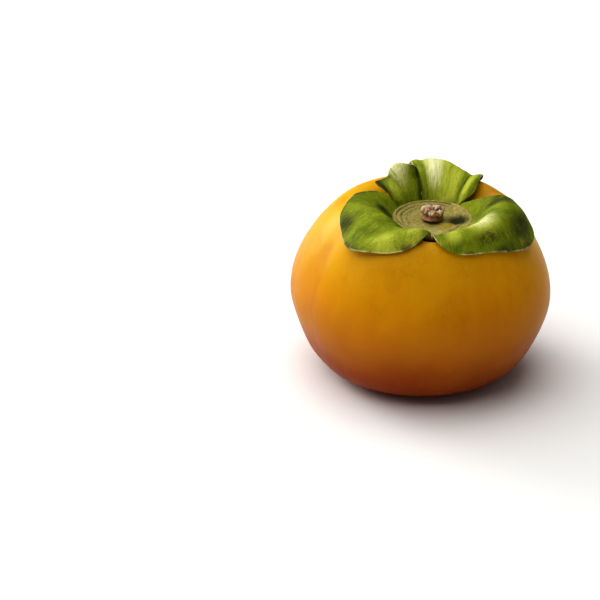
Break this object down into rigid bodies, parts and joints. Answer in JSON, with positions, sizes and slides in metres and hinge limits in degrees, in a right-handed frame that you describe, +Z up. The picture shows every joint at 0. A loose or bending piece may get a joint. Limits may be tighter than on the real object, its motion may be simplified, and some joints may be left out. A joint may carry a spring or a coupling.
{
  "type": "persimmon",
  "caption": "Whole squat persimmon standing on its blossom end, with its leathery lobed calyx and the stub of its stalk.",
  "frame": {"origin": "middle of the flat spot that the fruit stands on, under the middle of its widest girth", "axes": "+Z up through the fruit to the calyx, -Y to the front, +X to the right"},
  "size_m": [0.0764, 0.0764, 0.058],
  "materials": {
    "skin": "smooth waxy orange skin with a soft sheen",
    "calyx_leaf": "matte leathery green with fine radial veins",
    "stalk_wood": "rough torn brown wood",
    "dry_style": "dry and nearly black"
  },
  "bodies": {
    "root": {"fruit": "skin", "calyx": "calyx_leaf", "stalk_stub": "stalk_wood", "style_tip": "dry_style"}
  },
  "joints": []
}
